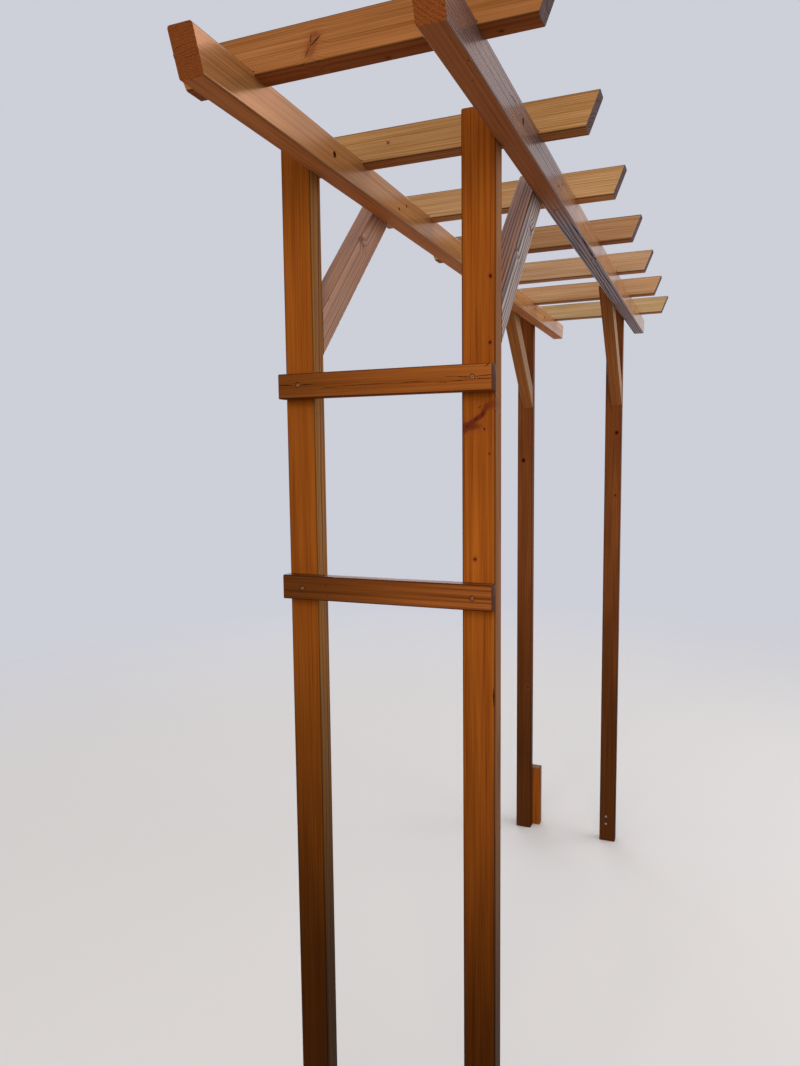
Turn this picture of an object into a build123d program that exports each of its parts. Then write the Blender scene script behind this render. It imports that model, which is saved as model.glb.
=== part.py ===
from build123d import *
import os
from math import cos, radians, sin, tan

# Narrow timber pergola for climbing plants, open on all sides, screwed together from planed timber.
# Lengths are in millimetres and angles in degrees. +Z is up and the ground is Z = 0. X runs across the
# pergola, along its rafters, and Y runs from its front end to its back end. The origin lies on the
# ground, midway along the rafters in X and midway along the beams in Y.

# Planed timber: every stick has this section, and its long edges are rounded
timber_width = 60
timber_thickness = 40
arris_radius = 4

# Posts, with their wide face towards the front
post_spacing = 342
frame_depth = 1860
post_end_radius = 3

# Beams, on edge against the right-hand faces of the posts
clear_height = 2060
beam_overhang = 390
end_cut_angle = 22

# Rafters, on edge across both beams and let in over them by a shallow notch
rafter_pitch = 380
rafter_setback = 148
rafter_left_overhang = 105
rafter_right_overhang = 105
notch_depth = 8

# Knee braces, with a mitred foot against the post and a head that laps the beam's side
brace_drop = 320
brace_angle = 45

# Rungs across the front posts
rung_height = 45
rung_thickness = 27
rung_arris_radius = 3
lower_rung_level = 1288
upper_rung_level = 1658

# Recesses in the right-hand face of each beam: one over each post for a coach bolt, and two over the
# head of each brace for screws, one before and below the middle of the head and one behind and above
bolt_recess_radius = 6
bolt_recess_depth = 22
screw_recess_radius = 3.5
screw_recess_depth = 5
screw_step_along = 22
screw_step_up = 9

# Stake behind the back left post
stake_height = 245
stake_projection = 30

# Levels: the posts end level with the beams, and the braces at the underside of the rafters
beam_top = clear_height + timber_width
beam_middle = clear_height + timber_width / 2
rafter_underside = beam_top - notch_depth
rafter_top = rafter_underside + timber_width

# Places across the pergola, in X, of the left-hand face of each piece
rafter_length = rafter_left_overhang + post_spacing + timber_thickness + rafter_right_overhang
left_beam_face = rafter_left_overhang - rafter_length / 2
right_beam_face = left_beam_face + post_spacing
left_post_face = left_beam_face - timber_width
right_post_face = right_beam_face - timber_width

# Places along the pergola, in Y
beam_length = frame_depth + 2 * beam_overhang
front_face = -frame_depth / 2
back_face = frame_depth / 2
front_inner_face = front_face + timber_thickness
back_inner_face = back_face - timber_thickness
post_rows = (front_face + timber_thickness / 2, back_face - timber_thickness / 2)
first_rafter = rafter_setback - beam_length / 2

# As many rafters as the beams carry at this pitch, from the first one on
rafter_count = 1 + int((beam_length - rafter_setback - timber_thickness) // rafter_pitch)

# How far an end cut runs back over the depth of a stick
end_cut = timber_width * tan(radians(end_cut_angle))

# Brace: the height of its foot, the length of its foot cut, and its reach along the beam from the post
brace_slope = tan(radians(brace_angle))
brace_foot = clear_height - brace_drop
brace_foot_cut = timber_width / cos(radians(brace_angle))
brace_lower_reach = (rafter_underside - brace_foot) / brace_slope
brace_upper_reach = (rafter_underside - brace_foot - brace_foot_cut) / brace_slope
brace_head_reach = (beam_middle - brace_foot - brace_foot_cut / 2) / brace_slope

os.makedirs("parts", exist_ok=True)


def make_post(label, left, front):
    """A plumb post from the ground to the top of the beams, its edges and its head rounded."""
    with BuildPart() as post:
        with BuildSketch(Plane.XY):
            with Locations((left + timber_width / 2, front + timber_thickness / 2)):
                RectangleRounded(timber_width, timber_thickness, arris_radius)
        extrude(amount=beam_top)
        fillet(post.edges().group_by(Axis.Z)[-1], post_end_radius)
    post.part.label = label
    export_step(post.part, f"parts/{label}.step")


make_post("front_left_post", left_post_face, front_face)
make_post("front_right_post", right_post_face, front_face)
make_post("back_left_post", left_post_face, back_inner_face)
make_post("back_right_post", right_post_face, back_inner_face)


def make_beam(label, left):
    """A beam on edge, cut back towards its underside at both ends and recessed for its fixings."""
    end = beam_length / 2
    heads = [(front_inner_face + brace_head_reach, 1), (back_inner_face - brace_head_reach, -1)]
    with BuildPart() as beam:
        with BuildSketch(Plane.YZ.offset(left)):
            with BuildLine():
                Polyline(
                    (-end, beam_top),
                    (end, beam_top),
                    (end - end_cut, clear_height),
                    (end_cut - end, clear_height),
                    close=True,
                )
            make_face()
        extrude(amount=timber_thickness)
        fillet(beam.edges().filter_by(Axis.Y), arris_radius)
        right_side = Plane.YZ.offset(left + timber_thickness)
        with BuildSketch(right_side):
            with Locations(*[(row, beam_middle) for row in post_rows]):
                Circle(bolt_recess_radius)
        extrude(amount=-bolt_recess_depth, mode=Mode.SUBTRACT)
        with BuildSketch(right_side):
            for head, away in heads:
                with Locations(
                    (head - away * screw_step_along, beam_middle - screw_step_up),
                    (head + away * screw_step_along, beam_middle + screw_step_up),
                ):
                    Circle(screw_recess_radius)
        extrude(amount=-screw_recess_depth, mode=Mode.SUBTRACT)
    beam.part.label = label
    export_step(beam.part, f"parts/{label}.step")


make_beam("left_beam", left_beam_face)
make_beam("right_beam", right_beam_face)


def make_rafter(label, front):
    """A rafter on edge, cut back at both ends and notched over the beams, and over a post it crosses."""
    end = rafter_length / 2
    middle = front + timber_thickness / 2
    crosses_post = any(abs(middle - row) < timber_thickness for row in post_rows)
    seat_width = timber_thickness + (timber_width if crosses_post else 0)
    seat_middle = timber_thickness - seat_width / 2
    seat_level = (rafter_underside + beam_top) / 2
    with BuildPart() as rafter:
        with BuildSketch(Plane.XZ.offset(-middle)):
            with BuildLine():
                Polyline(
                    (-end, rafter_top),
                    (end, rafter_top),
                    (end - end_cut, rafter_underside),
                    (end_cut - end, rafter_underside),
                    close=True,
                )
            make_face()
        extrude(amount=timber_thickness / 2, both=True)
        fillet(rafter.edges().filter_by(Axis.X), arris_radius)
        with BuildSketch(Plane.XZ.offset(-middle)):
            with Locations(
                (left_beam_face + seat_middle, seat_level),
                (right_beam_face + seat_middle, seat_level),
            ):
                Rectangle(seat_width, notch_depth)
        extrude(amount=timber_thickness / 2, both=True, mode=Mode.SUBTRACT)
    rafter.part.label = label
    export_step(rafter.part, f"parts/{label}.step")


for number in range(rafter_count):
    make_rafter(f"rafter_{number + 1}", first_rafter + number * rafter_pitch)


def make_brace(label, left, post_face, away):
    """A brace that stands against a post's inner face and rises away from it, away = 1 or -1 along Y."""
    grain = Axis((0, 0, 0), (0, away * cos(radians(brace_angle)), sin(radians(brace_angle))))
    with BuildPart() as brace:
        with BuildSketch(Plane.YZ.offset(left)):
            with BuildLine():
                Polyline(
                    (post_face, brace_foot),
                    (post_face + away * brace_lower_reach, rafter_underside),
                    (post_face + away * brace_upper_reach, rafter_underside),
                    (post_face, brace_foot + brace_foot_cut),
                    close=True,
                )
            make_face()
        extrude(amount=timber_thickness)
        fillet(brace.edges().filter_by(grain), arris_radius)
    brace.part.label = label
    export_step(brace.part, f"parts/{label}.step")


make_brace("front_left_brace", left_beam_face - timber_thickness, front_inner_face, 1)
make_brace("front_right_brace", right_beam_face - timber_thickness, front_inner_face, 1)
make_brace("back_left_brace", left_beam_face - timber_thickness, back_inner_face, -1)
make_brace("back_right_brace", right_beam_face - timber_thickness, back_inner_face, -1)


def make_rung(label, level):
    """A batten flat on the front faces of the front posts, ending flush with their outer faces."""
    rung_length = post_spacing + timber_width
    with BuildPart() as rung:
        with BuildSketch(Plane.XZ.offset(-front_face)):
            with Locations((left_post_face + rung_length / 2, level + rung_height / 2)):
                Rectangle(rung_length, rung_height)
        extrude(amount=rung_thickness)
        fillet(rung.edges().filter_by(Axis.X), rung_arris_radius)
    rung.part.label = label
    export_step(rung.part, f"parts/{label}.step")


make_rung("lower_rung", lower_rung_level)
make_rung("upper_rung", upper_rung_level)


# Stake: a short piece behind the back left post that shows beside its right-hand face
with BuildPart() as stake:
    with BuildSketch(Plane.XY):
        with Locations((
            left_beam_face + stake_projection - timber_width / 2,
            back_face + timber_thickness / 2,
        )):
            RectangleRounded(timber_width, timber_thickness, arris_radius)
    extrude(amount=stake_height)
    fillet(stake.edges().group_by(Axis.Z)[-1], post_end_radius)
stake.part.label = "back_left_stake"
export_step(stake.part, "parts/back_left_stake.step")
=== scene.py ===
import random
from math import cos, pi, radians, sin
from typing import NamedTuple

import bmesh
import bpy
from bpy.props import FloatProperty, FloatVectorProperty, PointerProperty
from bpy.types import Operator, Panel, PropertyGroup
from mathutils import Euler, Matrix, Vector


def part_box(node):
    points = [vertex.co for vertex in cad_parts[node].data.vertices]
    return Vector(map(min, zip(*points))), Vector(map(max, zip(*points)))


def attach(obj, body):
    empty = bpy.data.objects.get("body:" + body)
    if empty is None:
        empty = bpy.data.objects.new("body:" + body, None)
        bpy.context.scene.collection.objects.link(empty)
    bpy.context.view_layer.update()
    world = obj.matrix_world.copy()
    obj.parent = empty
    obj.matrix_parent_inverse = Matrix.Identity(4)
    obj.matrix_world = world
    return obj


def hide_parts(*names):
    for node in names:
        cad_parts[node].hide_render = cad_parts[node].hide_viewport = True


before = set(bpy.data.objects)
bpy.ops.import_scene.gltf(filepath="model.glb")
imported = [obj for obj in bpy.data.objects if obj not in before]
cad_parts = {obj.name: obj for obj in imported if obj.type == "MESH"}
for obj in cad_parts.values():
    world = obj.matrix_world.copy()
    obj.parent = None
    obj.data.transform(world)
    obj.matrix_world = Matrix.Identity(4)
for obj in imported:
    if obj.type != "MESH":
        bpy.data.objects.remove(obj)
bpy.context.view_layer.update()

bl_info = {
    "name": "Garden Pergola",
    "version": (1, 0, 0),
    "blender": (4, 5, 0),
    "location": "View3D > Sidebar > Pergola",
    "description": "Dresses a narrow timber pergola: stained and weathered boards, screws and bolts",
    "category": "Object",
}

MILLIMETRE = 0.001
BODY = "root"

# The axes by number and as directions
X, Y, Z = range(3)
ALONG_X, ALONG_Y, ALONG_Z = Vector((1, 0, 0)), Vector((0, 1, 0)), Vector((0, 0, 1))

# Settings that many nodes share: a change that starts and ends softly, and a mix of colours
SOFT = {"interpolation_type": "SMOOTHSTEP"}
COLOURS = {"data_type": "RGBA"}

# Patches drawn out along the grain, as their width and length in millimetres. A strand stands for real
# ones a third as wide, which are too fine to show.
STRANDS = (2.4, 200)
BANDS = (9, 500)
CLOUDS = (55, 260)
SAW_MARKS = (1.1, 1e6)
FIBRE_LENGTH = 140

# Other distances on a board, in millimetres: from one hollow of the planer to the next, and the reach
# to each side over which the weather changes from one face to another
PLANER_PITCH = 10.6
WEATHER_REACH = 150

# A place along a board that lies past the end of any, in millimetres
NEVER = 9000

# Slope of the knee braces
BRACE_SLOPE = radians(45)

# Places of the screws in the rungs' front faces, of two small empty holes in the lower rung, and of the
# screws in the foot of the back right post, in X and Z
RUNG_SCREWS = {
    "lower_rung": ((-0.2115, 1.3095), (0.1169, 1.309)),
    "upper_rung": ((-0.211, 1.682), (0.1179, 1.6811)),
}
RUNG_HOLES = ((-0.1623, 1.3171), (-0.1591, 1.299))
FOOT_SCREWS = ((0.116, 0.100), (0.116, 0.070))

# Cups round the screws and two small empty holes, each a radius and a depth, a bolt's head, its radius
# and height, and the depth of the upper rung's cracks
RUNG_CUP = (4.8 * MILLIMETRE, 1.1 * MILLIMETRE)
RAFTER_CUP = (5.2 * MILLIMETRE, 1.4 * MILLIMETRE)
EMPTY_HOLE = (1.2 * MILLIMETRE, 2.5 * MILLIMETRE)
BOLT_HEAD = (4.9 * MILLIMETRE, 4 * MILLIMETRE)
CRACK_DEPTH = 2.2 * MILLIMETRE

# Recesses that the CAD beams have in their right-hand faces: how deep a bolt sits, and a brace's screw,
# how far from the pergola's middle a brace's head lies, and the steps along and up from there to a screw
BOLT_SINK = 22 * MILLIMETRE
BRACE_SCREW_SINK = 3.4 * MILLIMETRE
BRACE_HEAD_PLACE = 582.4 * MILLIMETRE
SCREW_STEP_ALONG = 22 * MILLIMETRE
SCREW_STEP_UP = 9 * MILLIMETRE


def srgb(code):
    """A colour written as six sRGB hex digits, as the linear red, green, blue and alpha of a shader."""
    parts = [int(code[i:i + 2], 16) / 255 for i in (0, 2, 4)]
    linear = [p / 12.92 if p <= 0.04045 else ((p + 0.055) / 1.055) ** 2.4 for p in parts]
    return (*linear, 1.0)


def add_node(tree, kind, settings=None, inputs=None):
    """Add a node with its settings, and set or link its inputs, named or counted among those it shows."""
    node = tree.nodes.new(kind)
    for name, value in (settings or {}).items():
        setattr(node, name, value)
    shown = [socket for socket in node.inputs if socket.enabled]
    for key, value in (inputs or {}).items():
        socket = shown[key] if isinstance(key, int) else next(s for s in shown if s.name == key)
        if isinstance(value, bpy.types.Node):
            value = next(s for s in value.outputs if s.enabled)
        if isinstance(value, bpy.types.NodeSocket):
            tree.links.new(value, socket)
        else:
            socket.default_value = value
    return node


class TimberSettings(PropertyGroup):
    """The grain and the finish that all boards share."""

    ring_width: FloatProperty(
        name="Ring width",
        description="Thickness of one year's growth, a third coarser than the real one so that it shows",
        default=3.4 * MILLIMETRE, unit="LENGTH",
    )
    fibre_width: FloatProperty(
        name="Fibre width",
        description="Width of the fine streaks along the grain, coarser than real ones so that they show",
        default=0.9 * MILLIMETRE, unit="LENGTH",
    )
    ridge_height: FloatProperty(
        name="Ridge height",
        description="How far the hard summer wood stands proud on a planed face",
        default=0.10 * MILLIMETRE, unit="LENGTH",
    )
    weathered_ridge_height: FloatProperty(
        name="Weathered ridge height",
        description="How far the hard summer wood stands proud where rain has worn the soft wood away",
        default=0.25 * MILLIMETRE, unit="LENGTH",
    )
    knot: FloatVectorProperty(
        name="Knot", description="Colour of a knot under the stain",
        default=srgb("5A2212"), size=4, subtype="COLOR",
    )
    blush: FloatVectorProperty(
        name="Blush", description="Colour of the resin-soaked wood round a knot",
        default=srgb("84401F"), size=4, subtype="COLOR",
    )
    # Also the painted shade inside cracks and in the cups round sunk screws, and the dark eye of a knot
    crack: FloatVectorProperty(
        name="Crack", description="Colour inside a drying crack or round a sunk screw",
        default=srgb("1C0E07"), size=4, subtype="COLOR",
    )
    weathered_grain: FloatVectorProperty(
        name="Weathered grain", description="Colour of the summer wood's lines on a weathered face",
        default=srgb("443A3E"), size=4, subtype="COLOR",
    )
    end_grain: FloatVectorProperty(
        name="End grain", description="Colour of a sawn end, which drinks more stain than a face",
        default=srgb("A05A2C"), size=4, subtype="COLOR",
    )
    end_grain_line: FloatVectorProperty(
        name="End grain line", description="Colour of the saw marks and year rings on a sawn end",
        default=srgb("5E2E14"), size=4, subtype="COLOR",
    )


class HardwareSettings(PropertyGroup):
    """The screws and bolts."""

    rung_screw: FloatProperty(
        name="Rung screw", description="Radius of the screw heads on the rungs",
        default=3.1 * MILLIMETRE, unit="LENGTH",
    )
    rafter_screw: FloatProperty(
        name="Rafter screw", description="Radius of the screw heads on the rafters",
        default=4.2 * MILLIMETRE, unit="LENGTH",
    )
    brace_screw: FloatProperty(
        name="Brace screw", description="Radius of the screw heads over the braces",
        default=3.3 * MILLIMETRE, unit="LENGTH",
    )
    foot_screw: FloatProperty(
        name="Foot screw", description="Radius of the screw heads at the foot of a post",
        default=3.9 * MILLIMETRE, unit="LENGTH",
    )
    sink: FloatProperty(
        name="Sink", description="How far the screw heads of rungs and rafters lie below the face",
        default=0.7 * MILLIMETRE, unit="LENGTH",
    )
    yellow_zinc: FloatVectorProperty(
        name="Yellow zinc", description="Colour of the rungs' screws",
        default=srgb("94624A"), size=4, subtype="COLOR",
    )
    grey_zinc: FloatVectorProperty(
        name="Grey zinc", description="Colour of the other screws and the bolts",
        default=srgb("A9AAAC"), size=4, subtype="COLOR",
    )


class StageSettings(PropertyGroup):
    """The camera, the floor and the light."""

    camera_place: FloatVectorProperty(
        name="Camera place", description="Where the camera stands, from the pergola's origin",
        default=(0.5, -2.219, 1.55), size=3, subtype="TRANSLATION", unit="LENGTH",
    )
    camera_turn: FloatProperty(
        name="Camera turn", description="How far the camera looks to the left of the pergola's length",
        default=radians(22.15), subtype="ANGLE", unit="ROTATION",
    )
    camera_dip: FloatProperty(
        name="Camera dip", description="How far the camera looks below the horizon",
        default=radians(5.54), subtype="ANGLE", unit="ROTATION",
    )
    camera_roll: FloatProperty(
        name="Camera roll", description="How far the camera leans to the right",
        default=radians(0.62), subtype="ANGLE", unit="ROTATION",
    )
    camera_lens: FloatProperty(
        name="Camera lens", description="Focal length on a frame 36 mm high",
        default=26.42, unit="CAMERA",
    )
    floor: FloatVectorProperty(
        name="Floor", description="Colour of the floor as the camera sees it",
        default=srgb("D0C9C1"), size=4, subtype="COLOR",
    )
    backdrop: FloatVectorProperty(
        name="Backdrop", description="Colour of the backdrop as the camera sees it",
        default=srgb("CDCFD9"), size=4, subtype="COLOR",
    )


class Board(NamedTuple):
    """A timber's middle, and its axes across its width, through its thickness and along its grain."""

    middle: Vector
    across: Vector
    through: Vector
    along: Vector


class Look(NamedTuple):
    """How one timber is sawn, stained and weathered, and the light and shade painted on it."""

    # Stain in the spring wood and in the summer wood, and how strongly the year rings show
    light: str
    dark: str
    grain: float = 0.3
    # Year rings: their width as a multiple of the shared one, the strength of the weakest year, how far
    # they waver in millimetres, and the tree's pith across and through the board, or None to draw lots.
    # Rings that lie slanting to the camera are drawn up to 1.8 times coarser, or they turn to speckle.
    ring: float = 1.0
    even: float = 0.3
    sway: float = 11
    pith: tuple = None
    # How far the right-hand face, the top and the underside are worn, where the pale right-hand face is
    # partly weathering and partly painted sky light and reflection, and the tint of an underside, partly a
    # sheltered stain and partly painted shade
    right: float = 0.15
    top: float = 0.5
    under: float = 0.0
    below: tuple = (1.12, 0.78, 0.62)
    # Worn wood, and the colour of the right-hand face where that differs, which is partly weathering and
    # partly painted sky reflection
    worn: str = "9C9AA2"
    side: str = None
    # Where along the board, in millimetres, the pale right-hand face gives way to the weathered underside
    turn: float = NEVER
    # Brightness of the rounded edges, darkened as painted shade, and of one end of the board, which fades
    # between two places along the board: painted shade towards a post's foot and a rung's left end, and
    # brighter towards one end of the left beam
    arris: float = 0.35
    foot: float = 1.0
    fade: tuple = (-700, 300)
    # Roughness, strength of the reflection, brightness of the sawn ends, and depth of the planer's hollows
    gloss: float = 0.42
    shine: float = 0.07
    end: float = 0.5
    ripple: float = 0.0


class Mark(NamedTuple):
    """A knot or a crack between two places, with half its width in millimetres and its strength."""

    kind: str
    start: Vector
    end: Vector
    width: float
    strength: float


def corners(node):
    """A CAD node's lowest and highest corner."""
    low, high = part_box(node)
    return Vector(low), Vector(high)


def board_of(node, along, through):
    """The board that a CAD node is: its middle, and its axes across, through and along the grain."""
    low, high = corners(node)
    return Board((low + high) / 2, through.cross(along), through, along)


def on_board(board, point):
    """A point of the pergola in a board's own axes, in millimetres."""
    step = Vector(point) - board.middle
    return Vector([step.dot(axis) for axis in (board.across, board.through, board.along)]) / MILLIMETRE


def knot(place, radius, strength=0.85):
    """A knot cut square across, with its radius in millimetres and the share that its colour covers."""
    return Mark("knot", place, place, radius, strength)


def spike_knot(start, end, half_width, strength=0.6):
    """A knot cut lengthwise, which shows as a band, with half its width in millimetres."""
    return Mark("knot", start, end, half_width, strength)


def crack(start, end, half_width, strength=1.0):
    """A drying crack, dark inside with painted shade, with half its greatest width in millimetres."""
    return Mark("crack", start, end, half_width, strength)


def hollow(place, radius, strength=1.0):
    """A dark round hollow, with its radius in millimetres: a crack that ends where it starts. It is the dark
    eye of a knot, and the painted shade in the cup round a screw.
    """
    return Mark("crack", place, place, radius, strength)


def dark_knot(place, radius, eye, strength=0.85, darkness=1.0):
    """A knot with a dark round eye, with both radii in millimetres."""
    return knot(place, radius, strength), hollow(place, eye, darkness)


def on_face(axis, level, marks):
    """Marks given in the other two axes, set on the face that lies at a level of this one."""
    def place(point):
        return (*point[:axis], level, *point[axis:])
    return [mark._replace(start=place(mark.start), end=place(mark.end)) for mark in marks]


def blank_material(name):
    """A new material without nodes, and its node tree."""
    material = bpy.data.materials.new(name)
    material.use_nodes = True
    material.node_tree.nodes.clear()
    return material, material.node_tree


def summed(tree, total, layers):
    """A start value, plus each layer times its share."""
    for layer, share in layers:
        total = add_node(tree, "ShaderNodeMath", {"operation": "MULTIPLY_ADD"}, {
            0: layer, 1: share, 2: total,
        })
    return total


def board_coordinates(tree, board):
    """The surface's place on its board in millimetres: X across, Y through, Z along the grain."""
    turn = Matrix((board.across, board.through, board.along)).transposed().to_euler()
    surface = add_node(tree, "ShaderNodeTexCoord")
    return add_node(tree, "ShaderNodeMapping", {"vector_type": "TEXTURE"}, {
        "Vector": surface.outputs["Object"],
        "Location": board.middle,
        "Rotation": turn,
        "Scale": (MILLIMETRE,) * 3,
    })


def drawn_noise(tree, where, width, length, seed, detail=2.0):
    """Noise drawn out along the grain, in patches this wide and this long in millimetres."""
    drawn_out = add_node(tree, "ShaderNodeVectorMath", {"operation": "MULTIPLY"}, {
        0: where, 1: (1 / width, 1 / width, 1 / length),
    })
    return add_node(tree, "ShaderNodeTexNoise", {"noise_dimensions": "4D"}, {
        "Vector": drawn_out, "W": seed, "Scale": 1.0, "Detail": detail,
    })


def streaks(tree, where, width, length, seed, detail=2.0):
    """Patches drawn out along the grain, this wide and this long in millimetres, from 0 to 1."""
    noise = drawn_noise(tree, where, width, length, seed, detail)
    return add_node(tree, "ShaderNodeMapRange", None, {"Value": noise, "From Min": 0.3, "From Max": 0.7})


def shaken(tree, where, amount, width, length, seed):
    """Places moved about by noise by up to this amount, so that lines drawn from them waver."""
    noise = drawn_noise(tree, where, width, length, seed)
    centred = add_node(tree, "ShaderNodeVectorMath", {"operation": "SUBTRACT"}, {
        0: noise.outputs["Color"], 1: (0.5, 0.5, 0.5),
    })
    return add_node(tree, "ShaderNodeVectorMath", {"operation": "MULTIPLY_ADD"}, {
        0: centred, 1: (2 * amount, 2 * amount, 0), 2: where,
    })


def from_mark(tree, where, mark, squeeze=(1, 1, 1)):
    """How far the surface lies from a mark's line in its half widths, and its share of the way along it."""
    run = mark.end - mark.start
    from_start = add_node(tree, "ShaderNodeVectorMath", {"operation": "SUBTRACT"}, {
        0: where, 1: mark.start,
    })
    share = add_node(tree, "ShaderNodeVectorMath", {"operation": "DOT_PRODUCT"}, {
        0: from_start, 1: run / max(run.length_squared, 1e-6),
    })
    held = add_node(tree, "ShaderNodeClamp", None, {"Value": share})
    nearest = add_node(tree, "ShaderNodeVectorMath", {"operation": "SCALE"}, {0: run, "Scale": held})
    gap = add_node(tree, "ShaderNodeVectorMath", {"operation": "SUBTRACT"}, {0: from_start, 1: nearest})
    squeezed = add_node(tree, "ShaderNodeVectorMath", {"operation": "MULTIPLY"}, {
        0: gap, 1: Vector(squeeze) / mark.width,
    })
    return add_node(tree, "ShaderNodeVectorMath", {"operation": "LENGTH"}, {0: squeezed}), held


def knots(tree, where, marks, seed):
    """How much of the surface is knot, how much is the blush round it, and how far the grain swells out."""
    heart, halo, swelling = 0.0, 0.0, 0.0
    wavering = shaken(tree, where, 1.3, 7, 11, seed)
    # The reach of the disc, the ring round it and the swelling is counted in the knot's own radii
    for mark in (mark for mark in marks if mark.kind == "knot"):
        on_edge = abs(mark.start.x) > 1.5 * abs(mark.start.y)
        inward = (0.3, 1) if on_edge else (1, 0.3)
        distance, _ = from_mark(tree, wavering, mark, (*inward, 0.75 if mark.start == mark.end else 1))
        disc = add_node(tree, "ShaderNodeMapRange", SOFT, {
            "Value": distance, "From Min": 1.35, "From Max": 0.5, "To Max": mark.strength,
        })
        ring = add_node(tree, "ShaderNodeMapRange", SOFT, {
            "Value": distance, "From Min": 2.6, "From Max": 0.8, "To Max": 0.55 * mark.strength,
        })
        swell = add_node(tree, "ShaderNodeMapRange", {"interpolation_type": "SMOOTHERSTEP"}, {
            "Value": distance, "From Min": 4.0, "From Max": 0.0, "To Max": mark.width * 0.8,
        })
        heart = add_node(tree, "ShaderNodeMath", {"operation": "MAXIMUM"}, {0: disc, 1: heart})
        halo = add_node(tree, "ShaderNodeMath", {"operation": "MAXIMUM"}, {0: ring, 1: halo})
        swelling = add_node(tree, "ShaderNodeMath", {"operation": "ADD"}, {0: swell, 1: swelling})
    return heart, halo, swelling


def cracks(tree, where, marks, seed):
    """How much of the surface is dark: painted shade in cracks, jagged and widest at their middle, and round
    hollows: the dark eyes of knots and the painted shade in screw cups.
    """
    jagged = shaken(tree, where, 0.8, 1.6, 5, seed)
    dark = 0.0
    for mark in (mark for mark in marks if mark.kind == "crack"):
        distance, share = from_mark(tree, jagged, mark)
        bulge = 1.0
        if mark.start != mark.end:
            turned = add_node(tree, "ShaderNodeMath", {"operation": "MULTIPLY"}, {0: share, 1: pi})
            bulge = add_node(tree, "ShaderNodeMath", {"operation": "SINE"}, {0: turned})
        inside = add_node(tree, "ShaderNodeMath", {"operation": "SUBTRACT"}, {0: bulge, 1: distance})
        line = add_node(tree, "ShaderNodeMapRange", SOFT, {
            "Value": inside, "From Min": -0.4, "From Max": 0.3, "To Max": mark.strength,
        })
        dark = add_node(tree, "ShaderNodeMath", {"operation": "MAXIMUM"}, {0: line, 1: dark})
    return dark


def year_rings(tree, where, look, pith, width, swelling, seed):
    """How dark the year rings are, from 0 in spring wood to 1 in the summer wood of a strong year."""
    bent = shaken(tree, where, look.sway, 55, 800, seed)
    from_pith = add_node(tree, "ShaderNodeVectorMath", {"operation": "SUBTRACT"}, {0: bent, 1: (*pith, 0)})
    across = add_node(tree, "ShaderNodeVectorMath", {"operation": "MULTIPLY"}, {0: from_pith, 1: (1, 1, 0)})
    radius = add_node(tree, "ShaderNodeVectorMath", {"operation": "LENGTH"}, {0: across})
    swollen = add_node(tree, "ShaderNodeMath", {"operation": "ADD"}, {0: radius, 1: swelling})
    years = add_node(tree, "ShaderNodeMath", {"operation": "DIVIDE"}, {0: swollen, 1: width})
    season = add_node(tree, "ShaderNodeMath", {"operation": "FRACT"}, {0: years})
    year = add_node(tree, "ShaderNodeMath", {"operation": "FLOOR"}, {0: years})
    vigour = add_node(tree, "ShaderNodeTexWhiteNoise", {"noise_dimensions": "1D"}, {"W": year})
    summer = add_node(tree, "ShaderNodeMapRange", None, {"Value": vigour, "To Min": look.even})
    # Through its season a ring darkens slowly, and it ends at once
    for start, full in ((0.1, 0.8), (1.0, 0.84)):
        edge = add_node(tree, "ShaderNodeMapRange", SOFT, {
            "Value": season, "From Min": start, "From Max": full,
        })
        summer = add_node(tree, "ShaderNodeMath", {"operation": "MULTIPLY"}, {0: summer, 1: edge})
    return summer


def facing(tree, direction, share=1.0):
    """How much the surface faces a direction, up to a share."""
    surface = add_node(tree, "ShaderNodeTexCoord")
    cosine = add_node(tree, "ShaderNodeVectorMath", {"operation": "DOT_PRODUCT"}, {
        0: surface.outputs["Normal"], 1: direction,
    })
    return add_node(tree, "ShaderNodeMapRange", SOFT, {
        "Value": cosine, "From Min": 0.45, "From Max": 0.95, "To Max": share,
    })


def squareness(tree, board):
    """How square the surface lies to one of its board's axes: 1 on a face and less on a rounded edge."""
    surface = add_node(tree, "ShaderNodeTexCoord")
    squarest = 0.0
    for axis in (board.across, board.through, board.along):
        cosine = add_node(tree, "ShaderNodeVectorMath", {"operation": "DOT_PRODUCT"}, {
            0: surface.outputs["Normal"], 1: axis,
        })
        size = add_node(tree, "ShaderNodeMath", {"operation": "ABSOLUTE"}, {0: cosine})
        squarest = add_node(tree, "ShaderNodeMath", {"operation": "MAXIMUM"}, {0: size, 1: squarest})
    return squarest


def planer_ripple(tree, place, band, share):
    """Lengthwise hollows left by the planer, up to a share, and deeper towards the right-hand end."""
    crossing = add_node(tree, "ShaderNodeMath", {"operation": "MULTIPLY"}, {
        0: place.outputs["X"], 1: 2 * pi / PLANER_PITCH,
    })
    swung = add_node(tree, "ShaderNodeMath", {"operation": "MULTIPLY_ADD"}, {0: band, 1: 2.0, 2: crossing})
    wave = add_node(tree, "ShaderNodeMath", {"operation": "SINE"}, {0: swung})
    right_end = add_node(tree, "ShaderNodeMapRange", SOFT, {
        "Value": place.outputs["Z"], "From Min": 60, "From Max": -170, "To Max": share,
    })
    return add_node(tree, "ShaderNodeMath", {"operation": "MULTIPLY"}, {0: wave, 1: right_end})


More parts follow.
